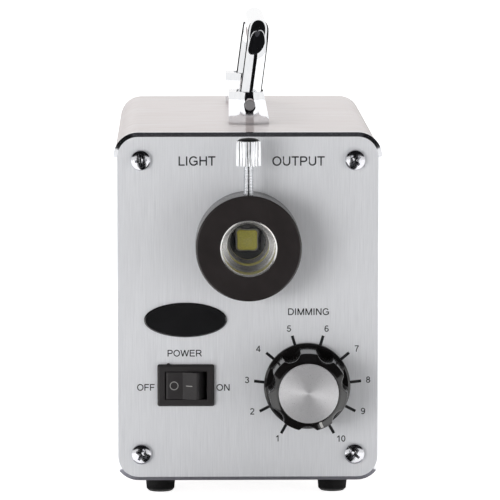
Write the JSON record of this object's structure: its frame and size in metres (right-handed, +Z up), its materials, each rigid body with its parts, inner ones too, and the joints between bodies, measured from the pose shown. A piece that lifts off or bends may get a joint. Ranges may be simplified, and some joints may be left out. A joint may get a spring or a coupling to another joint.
{
  "type": "fiber optic illuminator",
  "caption": "Bench light source with a clamped port for a fiber light guide, a dimmer knob, a rocker switch and a folding carry handle on a box-shaped housing.",
  "frame": {"origin": "centre of the bounding box, at the level that the feet stand on", "axes": "-Y towards the front panel and out of the light port, +X to the right seen from the front, +Z up"},
  "size_m": [0.098, 0.2074, 0.1795],
  "materials": {
    "panel_aluminium": "brushed upright",
    "cover_laminate": "satin wood-grain film on steel",
    "bare_aluminium": "turned",
    "black_anodised": "satin black",
    "bright_plating": "polished",
    "screw_steel": "plated",
    "sheet_steel": "zinc plated",
    "black_plastic": "satin",
    "switch_plastic": "satin",
    "badge_black": "gloss",
    "foot_rubber": "matte",
    "lens_glass": "clear",
    "emitter_phosphor": "yellow phosphor on white",
    "board_laminate": "green board",
    "star_board": "white coated",
    "winding_tape": "yellow tape on a ferrite core",
    "capacitor_sleeve": "dark sleeve",
    "terminal_plastic": "green",
    "contact_brass": "plated",
    "fuse_glass": "clear with metal ends"
  },
  "bodies": {
    "housing": {"front_panel": "panel_aluminium", "front_panel_screws": "screw_steel", "panel_badge": "badge_black", "outer_cover": "cover_laminate", "rear_panel": "panel_aluminium", "rear_panel_screws": "screw_steel", "tie_rods": "bare_aluminium", "chassis_tray": "sheet_steel", "rubber_feet": "foot_rubber", "foot_screws": "screw_steel", "foot_nuts": "screw_steel", "handle_bracket_front": "bright_plating", "handle_bracket_rear": "bright_plating", "handle_pivot_pins": "screw_steel", "handle_bracket_screws": "screw_steel", "port_collar": "black_anodised", "port_sleeve": "bare_aluminium", "port_ring_nut": "bare_aluminium", "lens_retaining_ring": "bare_aluminium", "condenser_lens": "lens_glass", "led_emitter": "emitter_phosphor", "led_star_board": "star_board", "led_board_screws": "screw_steel", "heat_sink": "bare_aluminium", "heat_sink_pillars": "contact_brass", "heat_sink_screws": "screw_steel", "switch_housing": "switch_plastic", "switch_terminals": "contact_brass", "potentiometer_body": "sheet_steel", "potentiometer_nut": "screw_steel", "driver_board": "board_laminate", "board_standoffs": "contact_brass", "board_screws": "screw_steel", "board_transformer": "winding_tape", "board_capacitors": "capacitor_sleeve", "board_terminal_blocks": "terminal_plastic", "board_fuse": "fuse_glass", "fuse_clips": "contact_brass", "mains_inlet": "black_plastic", "inlet_pins": "contact_brass", "inlet_screws": "screw_steel", "inlet_nuts": "screw_steel", "fan_frame": "black_plastic", "fan_screws": "screw_steel"},
    "handle": {"carry_handle": "bright_plating"},
    "dimmer": {"dimmer_knob": "black_plastic", "knob_cap": "bare_aluminium", "knob_set_screw": "screw_steel", "potentiometer_shaft": "bare_aluminium"},
    "rocker": {"switch_rocker": "switch_plastic"},
    "clamp_stud": {"clamp_stud": "bright_plating"},
    "clamp_head": {"clamp_head": "bright_plating"},
    "fan_rotor": {"fan_rotor": "black_plastic"}
  },
  "joints": [
    {"name": "handle_fold", "type": "hinge", "parent": "housing", "child": "handle", "pos_m": [0.0014, 0.0182, 0.14425], "axis": [0, 1, 0], "range_deg": [-7.5, 87]},
    {"name": "dimmer_turn", "type": "hinge", "parent": "housing", "child": "dimmer", "pos_m": [0.0216, -0.08235, 0.0448], "axis": [0, -1, 0], "range_deg": [0, 300]},
    {"name": "rocker_tilt", "type": "hinge", "parent": "housing", "child": "rocker", "pos_m": [-0.0227, -0.07925, 0.045], "axis": [0, 0, 1], "range_deg": [0, 24]},
    {"name": "clamp_slide", "type": "slide", "parent": "housing", "child": "clamp_stud", "axis": [0, 0, -1], "range_m": [0, 0.0099]},
    {"name": "clamp_turn", "type": "hinge", "parent": "clamp_stud", "child": "clamp_head", "pos_m": [0, -0.09455, 0.12655], "axis": [0, 0, -1], "range_deg": [0, 5100]},
    {"name": "fan_spin", "type": "hinge", "parent": "housing", "child": "fan_rotor", "pos_m": [0, 0.09315, 0.0935], "axis": [0, 1, 0], "continuous": true}
  ],
  "couplings": [
    {"joint": "clamp_turn", "follows": "clamp_slide", "rad_per_m": 8976}
  ]
}
